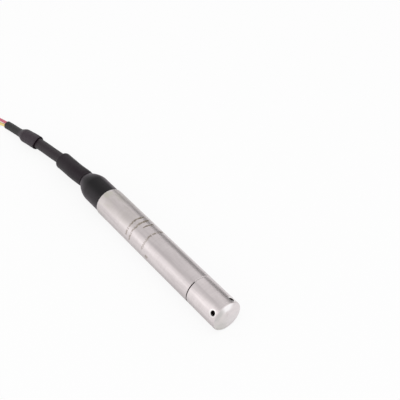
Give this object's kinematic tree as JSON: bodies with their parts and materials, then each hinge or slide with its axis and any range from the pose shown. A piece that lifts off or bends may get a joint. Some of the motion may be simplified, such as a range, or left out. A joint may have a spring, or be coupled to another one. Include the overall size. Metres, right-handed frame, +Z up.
{
  "type": "submersible capacitive level transmitter",
  "caption": "Slim steel immersion probe with a screwed nose cap over a ceramic capacitive cell, a moulded boot, a vented cable and stripped leads.",
  "frame": {"origin": "on the surface the probe lies on, under the middle of the probe's length, from the nose face to the boot's neck, without the cable", "axes": "+X along the probe towards its nose, +Z up, the cable leaves towards -X"},
  "size_m": [0.3393, 0.0351, 0.022],
  "materials": {
    "satin_steel": "fine turned stainless steel, satin",
    "turned_steel": "plain turned stainless steel",
    "seal_rubber": "matt black rubber",
    "boot_rubber": "smooth black moulding",
    "shrink_sleeve": "black heat-shrink, faintly wrinkled",
    "cable_jacket": "black polyurethane jacket",
    "breakout_rubber": "dark grey heat-shrink",
    "ceramic": "ivory aluminium oxide, lapped",
    "gold_pins": "gold plated",
    "circuit_board": "green solder mask",
    "chip_black": "black moulded package",
    "can_metal": "bare aluminium can",
    "cradle_plastic": "natural moulded plastic",
    "vent_plastic": "natural polyamide tube",
    "brass": "turned brass",
    "red_insulation": "pinkish red lead insulation",
    "yellow_insulation": "yellow lead insulation",
    "tinned_copper": "tinned copper strands"
  },
  "bodies": {
    "probe": {"steel_housing": "satin_steel", "retaining_ring": "turned_steel", "cell_seal_ring": "seal_rubber", "ceramic_membrane": "ceramic", "ceramic_cell": "ceramic", "cell_pin_1": "gold_pins", "cell_pin_2": "gold_pins", "cell_pin_3": "gold_pins", "cell_board": "circuit_board", "board_header": "chip_black", "main_board": "circuit_board", "board_cradle": "cradle_plastic", "signal_chip": "chip_black", "output_chip": "chip_black", "surge_arrester": "ceramic", "filter_capacitor": "can_metal", "terminal_block": "cradle_plastic", "vent_tube": "vent_plastic", "red_core": "red_insulation", "yellow_core": "yellow_insulation", "gland_body": "turned_steel", "gland_seal_ring": "seal_rubber", "gland_grommet": "seal_rubber", "thrust_washer": "brass", "gland_nut": "turned_steel", "cable_clamp_ring": "turned_steel", "rubber_boot": "boot_rubber", "cable_sleeve": "shrink_sleeve", "cable": "cable_jacket", "breakout_boot": "breakout_rubber", "red_lead": "red_insulation", "yellow_lead": "yellow_insulation", "red_lead_tip": "tinned_copper", "yellow_lead_tip": "tinned_copper"},
    "cap_ring": {"cap_seal_ring": "seal_rubber"},
    "cap": {"nose_cap": "satin_steel"}
  },
  "joints": [
    {"name": "cap_advance", "type": "slide", "parent": "probe", "child": "cap_ring", "axis": [1, 0, 0], "range_m": [0, 0.006]},
    {"name": "cap_turn", "type": "hinge", "parent": "cap_ring", "child": "cap", "pos_m": [0.0682, 0, 0.01098], "axis": [1, 0, 0], "range_deg": [0, 2160]}
  ],
  "couplings": [
    {"joint": "cap_advance", "follows": "cap_turn", "m_per_rad": 0.00015915}
  ]
}
